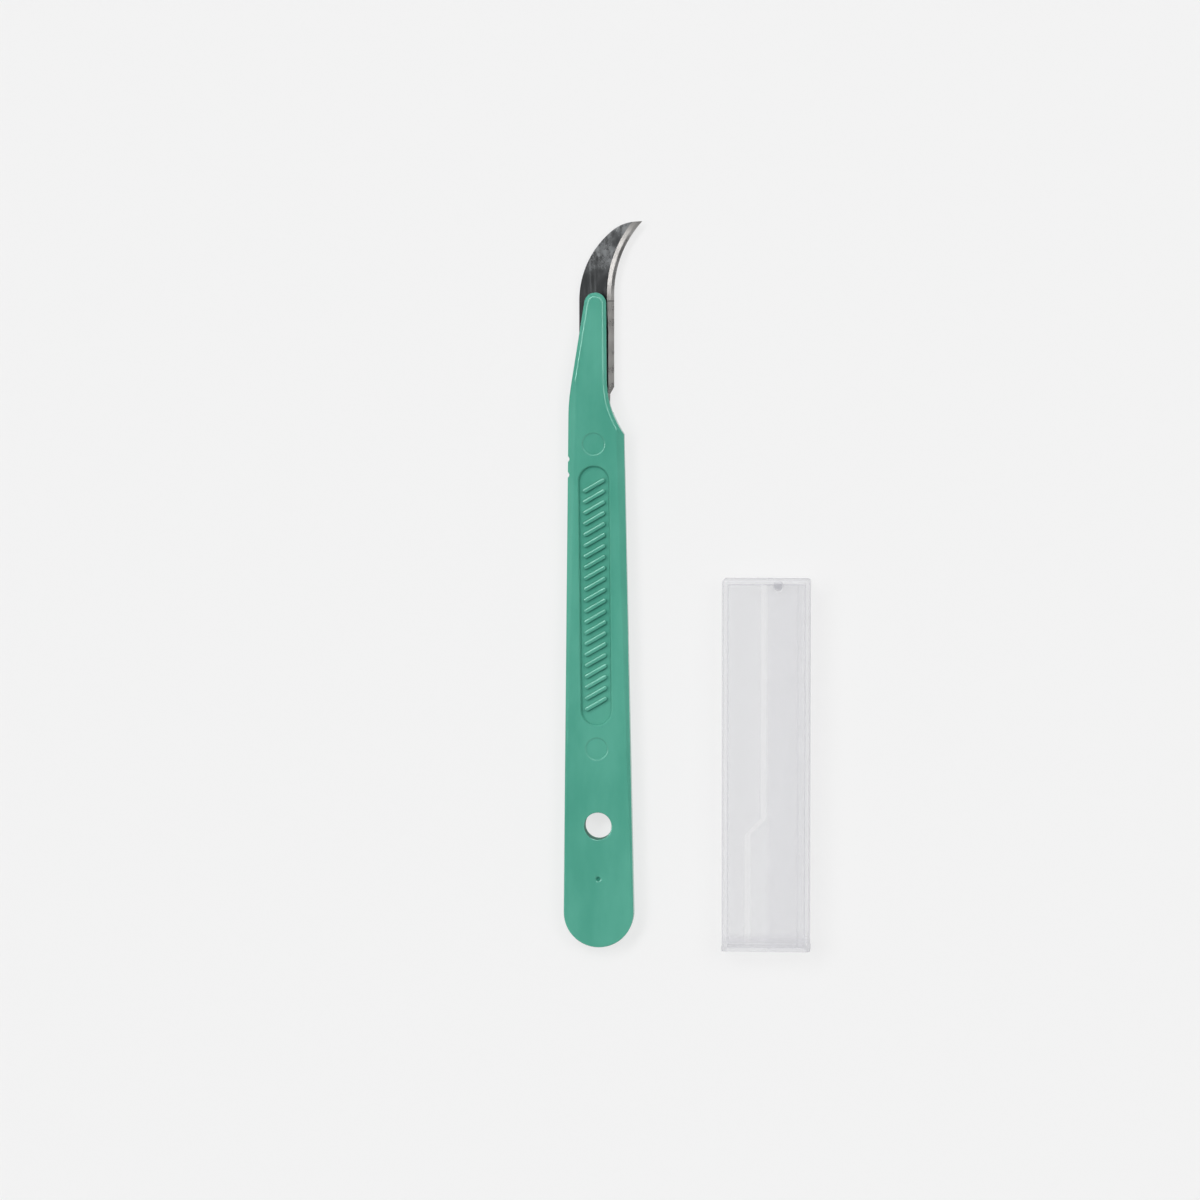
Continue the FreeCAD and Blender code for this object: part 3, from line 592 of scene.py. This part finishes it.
def guard_clearness(tree, place, level, look):
    """The share of light that goes straight through one surface of the guard.

    Level is the upward part of the surface's normal.
    """
    parts = add_node(tree, "ShaderNodeSeparateXYZ", {"Vector": place}).outputs
    middle = (GUARD_LOW.x + GUARD_HIGH.x) / 2
    inner_side = (GUARD_HIGH.x - GUARD_LOW.x) / 2 - SIDE_WALL
    inner_end = GUARD_HIGH.y - END_WALL

    none, full, still_full, none_again = RAMP_NORMALS
    sloped = add_node(tree, "ShaderNodeMapRange", {
        "Value": level, "From Min": none, "From Max": full}, interpolation_type="SMOOTHSTEP")
    sloped = add_node(tree, "ShaderNodeMapRange", {
        "Value": level, "From Min": still_full, "From Max": none_again, "To Min": sloped, "To Max": 0.0},
        interpolation_type="SMOOTHSTEP")
    share = add_node(tree, "ShaderNodeMix", {
        "Factor": sloped, FIRST_NUMBER: look.clearness, SECOND_NUMBER: look.ramp_clearness},
        data_type="FLOAT")

    sideways = add_node(tree, "ShaderNodeMath", {0: parts["X"], 1: middle}, operation="SUBTRACT")
    sideways = add_node(tree, "ShaderNodeMath", {0: sideways}, operation="ABSOLUTE")
    in_side = add_node(tree, "ShaderNodeMapRange", {
        "Value": sideways, "From Min": inner_side, "From Max": inner_side + WALL_BLUR},
        interpolation_type="SMOOTHSTEP")
    in_end = add_node(tree, "ShaderNodeMapRange", {
        "Value": parts["Y"], "From Min": inner_end, "From Max": inner_end + WALL_BLUR},
        interpolation_type="SMOOTHSTEP")
    in_wall = add_node(tree, "ShaderNodeMath", {0: in_side, 1: in_end}, operation="MAXIMUM")
    # Painted shade towards the mouth
    at_mouth = add_node(tree, "ShaderNodeMapRange", {
        "Value": parts["Y"], "From Min": GUARD_LOW.y + MOUTH_FROM, "From Max": GUARD_LOW.y + MOUTH_TO,
        "To Min": 1.0, "To Max": 0.0}, interpolation_type="SMOOTHSTEP")
    # The right half is made less clear, so it looks darker
    in_half = add_node(tree, "ShaderNodeMapRange", {
        "Value": parts["X"], "From Min": middle + HALF_FROM, "From Max": middle + HALF_TO},
        interpolation_type="SMOOTHSTEP")
    for place_share, left in (
            (in_wall, look.wall_clearness),
            (in_half, look.darker_half_clearness),
            (at_mouth, look.mouth_shade_clearness)):
        cut = add_node(tree, "ShaderNodeMapRange", {
            "Value": place_share, "To Min": 1.0, "To Max": left}, interpolation_type="SMOOTHSTEP")
        share = add_node(tree, "ShaderNodeMath", {0: share, 1: cut}, operation="MULTIPLY")

    # Painted shade under the window, on the lower wall only
    lower_wall = add_node(tree, "ShaderNodeMath", {
        0: parts["Z"], 1: (GUARD_LOW.z + GUARD_HIGH.z) / 2}, operation="LESS_THAN")
    spot = add_node(tree, "ShaderNodeMapRange", {
        "Value": flat_distance(tree, place, middle + SPOT_RIGHT, GUARD_HIGH.y - SPOT_BELOW),
        "From Min": SPOT_FULL, "From Max": SPOT_END, "To Min": lower_wall, "To Max": 0.0},
        interpolation_type="SMOOTHSTEP")
    return add_node(tree, "ShaderNodeMix", {
        "Factor": spot, FIRST_NUMBER: share, SECOND_NUMBER: look.window_shade_clearness}, data_type="FLOAT")


def build_frosted_plastic(look):
    """Injection-moulded natural polypropylene, one millimetre thick and frosted by the mould.

    It lets most of the light through and scatters the rest, so it looks like pale milky glass. Rims
    that are seen edge-on pass less light and look denser.
    """
    material, tree, output, place = new_material("frosted_polypropylene")
    clouds = add_node(tree, "ShaderNodeTexNoise", {
        "Vector": place, "Scale": 1 / look.frost_size, "Detail": 3.0, "Roughness": 0.5})
    rough = add_node(tree, "ShaderNodeMapRange", {
        "Value": clouds, "From Min": NOISE_LOW, "From Max": NOISE_HIGH,
        "To Min": look.roughness - ROUGHNESS_SPREAD, "To Max": look.roughness + ROUGHNESS_SPREAD},
        interpolation_type="SMOOTHSTEP")
    skin = add_node(tree, "ShaderNodeBsdfPrincipled", {
        "Base Color": tuple(look.plastic), "Roughness": rough, "IOR": 1.49})
    glow = add_node(tree, "ShaderNodeBsdfTranslucent", {"Color": tuple(look.plastic)})
    milky = add_node(tree, "ShaderNodeMixShader", {0: SHINES_THROUGH, 1: skin, 2: glow})

    normal = add_node(tree, "ShaderNodeNewGeometry").outputs["True Normal"]
    upward = add_node(tree, "ShaderNodeSeparateXYZ", {"Vector": normal}).outputs["Z"]
    level = add_node(tree, "ShaderNodeMath", {0: upward}, operation="ABSOLUTE")
    grazing = add_node(tree, "ShaderNodeLayerWeight", {"Blend": EDGE_ON}).outputs["Facing"]
    density = add_node(tree, "ShaderNodeMapRange", {
        "Value": level, "From Min": WALL_NORMAL, "From Max": FLAT_NORMAL, "To Min": look.edge_density},
        interpolation_type="SMOOTHSTEP")
    held = add_node(tree, "ShaderNodeMath", {0: grazing, 1: density}, operation="MULTIPLY")
    passes = add_node(tree, "ShaderNodeMath", {0: 1.0, 1: held}, operation="SUBTRACT")
    passes = add_node(tree, "ShaderNodeMath", {
        0: passes, 1: guard_clearness(tree, place, level, look)}, operation="MULTIPLY")
    clear = add_node(tree, "ShaderNodeBsdfTransparent")
    mixed = add_node(tree, "ShaderNodeMixShader", {0: passes, 1: milky, 2: clear})
    tree.links.new(mixed.outputs["Shader"], output.inputs["Surface"])
    return material


class SCALPEL_OT_handle(bpy.types.Operator):
    """Gives the moulded handle its green plastic"""
    bl_idname = "scalpel.handle"
    bl_label = "Finish the handle"

    def execute(self, context):
        material = build_green_plastic(context.scene.scalpel_handle)
        dress(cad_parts["handle"], material)
        return {"FINISHED"}


class SCALPEL_OT_blade(bpy.types.Operator):
    """Gives the blade its rolled and ground steel"""
    bl_idname = "scalpel.blade"
    bl_label = "Finish the blade"

    def execute(self, context):
        material = build_blade_steel(context.scene.scalpel_blade)
        dress(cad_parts["blade"], material)
        return {"FINISHED"}


class SCALPEL_OT_guard(bpy.types.Operator):
    """Gives the blade guard its frosted plastic"""
    bl_idname = "scalpel.guard"
    bl_label = "Finish the blade guard"

    def execute(self, context):
        material = build_frosted_plastic(context.scene.scalpel_guard)
        dress(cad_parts["blade_guard"], material)
        return {"FINISHED"}


def facing(position, target):
    """The matrix of a lamp or camera at a position that looks at a target, with +Y up in its picture."""
    back = (position - target).normalized()
    right = Vector((0, 1, 0)).cross(back).normalized()
    turn = Matrix((right, back.cross(right), back)).transposed().to_4x4()
    return Matrix.Translation(position) @ turn


def add_softbox(name, offset, size, watts):
    """A rectangular soft light that hangs at an offset from the aim and faces it."""
    data = bpy.data.lights.new(name, "AREA")
    data.shape = "RECTANGLE"
    data.size, data.size_y = size
    data.energy = watts
    lamp = bpy.data.objects.new(name, data)
    bpy.context.scene.collection.objects.link(lamp)
    lamp.matrix_world = facing(AIM + Vector(offset), AIM)


def build_floor(look):
    """A table of matt opal acrylic, lit softly from below, so that shadows on it stay pale."""
    material, tree, output, place = new_material("opal_acrylic")
    grain = add_node(tree, "ShaderNodeTexNoise", {"Vector": place, "Scale": 1 / FLOOR_GRAIN, "Detail": 3.0})
    bump = add_node(tree, "ShaderNodeBump", {
        "Height": grain, "Distance": FLOOR_GRAIN_DEPTH, "Strength": 0.5})
    shader = add_node(tree, "ShaderNodeBsdfPrincipled", {
        "Base Color": tuple(look.floor), "Roughness": 0.9, "Normal": bump, "Specular IOR Level": 0.1,
        "Emission Color": colour("#ffffff"), "Emission Strength": look.floor_glow})
    tree.links.new(shader.outputs["BSDF"], output.inputs["Surface"])
    return material


def lamp_bank(tree, direction, height, strength, middle, half_width, top, bottom):
    """The brightness of a bank of lamps that curves around the object, all angles in degrees.

    Its middle and half width go around from +X, and its top and bottom are counted from straight up.
    """
    level = add_node(tree, "ShaderNodeVectorMath", {0: direction, 1: (1.0, 1.0, 0.0)}, operation="MULTIPLY")
    heading = add_node(tree, "ShaderNodeVectorMath", {0: level}, operation="NORMALIZE")
    turn = math.radians(middle)
    towards = add_node(tree, "ShaderNodeVectorMath", {
        0: heading, 1: (math.cos(turn), math.sin(turn), 0.0)}, operation="DOT_PRODUCT")
    end, low, high = (math.cos(math.radians(angle)) for angle in (half_width, bottom, top))
    lit = add_node(tree, "ShaderNodeMapRange", {
        "Value": towards, "From Min": end - END_BLUR, "From Max": end + END_BLUR, "To Max": strength},
        interpolation_type="SMOOTHSTEP")
    lit = add_node(tree, "ShaderNodeMapRange", {
        "Value": height, "From Min": low - BOTTOM_BLUR, "From Max": low + BOTTOM_BLUR, "To Max": lit},
        interpolation_type="SMOOTHSTEP")
    return add_node(tree, "ShaderNodeMapRange", {
        "Value": height, "From Min": high - TOP_BLUR, "From Max": high + TOP_BLUR,
        "To Min": lit, "To Max": 0.0}, interpolation_type="SMOOTHSTEP")


def build_world(look):
    """A light tent between white walls, with two curved banks of lamps.

    Flat steel mirrors the tent's dark opening to the camera, and the handle's rounded edges mirror the
    banks.
    """
    world = bpy.data.worlds.new("light_tent")
    bpy.context.scene.world = world
    world.use_nodes = True
    tree = world.node_tree
    tree.nodes.clear()
    output = add_node(tree, "ShaderNodeOutputWorld")
    direction = add_node(tree, "ShaderNodeTexCoord").outputs["Generated"]
    height = add_node(tree, "ShaderNodeSeparateXYZ", {"Vector": direction}).outputs["Z"]
    from_opening = add_node(tree, "ShaderNodeVectorMath", {
        0: direction, 1: OPENING_DIRECTION}, operation="SUBTRACT")
    stretched = add_node(tree, "ShaderNodeVectorMath", {
        0: from_opening, 1: (1 / look.opening_width, 1 / look.opening_height, 0.0)}, operation="MULTIPLY")
    reach = add_node(tree, "ShaderNodeVectorMath", {0: stretched}, operation="LENGTH")
    tent = add_node(tree, "ShaderNodeMapRange", {
        "Value": reach, "From Min": OPENING_CORE, "To Min": look.opening_light, "To Max": look.tent_light},
        interpolation_type="SMOOTHSTEP")
    walls = add_node(tree, "ShaderNodeMapRange", {
        "Value": height, "From Min": WALLS_TOP, "From Max": TENT_FROM,
        "To Min": look.wall_light - look.tent_light, "To Max": 0.0}, interpolation_type="SMOOTHSTEP")
    total = tent
    for light in (
            walls,
            lamp_bank(tree, direction, height, look.left_bank, *LEFT_BANK),
            lamp_bank(tree, direction, height, look.right_bank, *RIGHT_BANK)):
        total = add_node(tree, "ShaderNodeMath", {0: total, 1: light}, operation="ADD")
    background = add_node(tree, "ShaderNodeBackground", {"Color": colour("#ffffff"), "Strength": total})
    tree.links.new(background.outputs["Background"], output.inputs["Surface"])


class SCALPEL_OT_studio(bpy.types.Operator):
    """Makes the pale floor, the soft lights and the camera above the scalpel"""
    bl_idname = "scalpel.studio"
    bl_label = "Set up the studio"

    def execute(self, context):
        look = context.scene.scalpel_studio
        bpy.ops.object.select_all(action="DESELECT")
        bpy.ops.mesh.primitive_plane_add(size=FLOOR_SIZE, location=(AIM.x, AIM.y, 0))
        floor = context.active_object
        floor.name = "floor"
        bpy.ops.object.transform_apply(location=True, rotation=False, scale=False)
        floor.data.materials.append(build_floor(look))
        add_softbox("overhead_light", OVERHEAD_OFFSET, OVERHEAD_SIZE, look.overhead_power)
        add_softbox("top_light", TOP_OFFSET, TOP_SIZE, look.top_power)
        build_world(look)
        camera_data = bpy.data.cameras.new("camera")
        camera_data.angle = 2 * math.atan(look.frame_width / 2 / look.camera_distance)
        camera = bpy.data.objects.new("camera", camera_data)
        context.scene.collection.objects.link(camera)
        offset = Vector((math.tan(look.lean_right), math.tan(look.lean_up), 1)).normalized()
        camera.matrix_world = facing(AIM + offset * look.camera_distance, AIM)
        context.scene.camera = camera
        return {"FINISHED"}


class SCALPEL_PT_panel(bpy.types.Panel):
    """Lists the scalpel's finishing steps"""
    bl_idname = "SCALPEL_PT_panel"
    bl_label = "Disposable scalpel"
    bl_space_type = "VIEW_3D"
    bl_region_type = "UI"
    bl_category = "Scalpel"

    def draw(self, context):
        for look, step in STEPS:
            box = self.layout.box()
            settings = getattr(context.scene, look)
            for name in settings.__annotations__:
                box.prop(settings, name)
            box.operator(step)


STEPS = (
    ("scalpel_studio", "scalpel.studio"),
    ("scalpel_handle", "scalpel.handle"),
    ("scalpel_blade", "scalpel.blade"),
    ("scalpel_guard", "scalpel.guard"),
)
LOOKS = {
    "scalpel_studio": ScalpelStudioLook,
    "scalpel_handle": ScalpelHandleLook,
    "scalpel_blade": ScalpelBladeLook,
    "scalpel_guard": ScalpelGuardLook,
}
CLASSES = tuple(LOOKS.values()) + (
    SCALPEL_OT_studio, SCALPEL_OT_handle, SCALPEL_OT_blade, SCALPEL_OT_guard, SCALPEL_PT_panel)


def register():
    for item in CLASSES:
        bpy.utils.register_class(item)
    for name, group in LOOKS.items():
        setattr(bpy.types.Scene, name, bpy.props.PointerProperty(type=group))


def unregister():
    for name in LOOKS:
        delattr(bpy.types.Scene, name)
    for item in reversed(CLASSES):
        bpy.utils.unregister_class(item)


def main():
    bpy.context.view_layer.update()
    register()
    bpy.context.scene.view_settings.view_transform = "Standard"
    bpy.ops.scalpel.studio()
    bpy.ops.scalpel.handle()
    bpy.ops.scalpel.blade()
    bpy.ops.scalpel.guard()


if __name__ == "__main__":
    main()
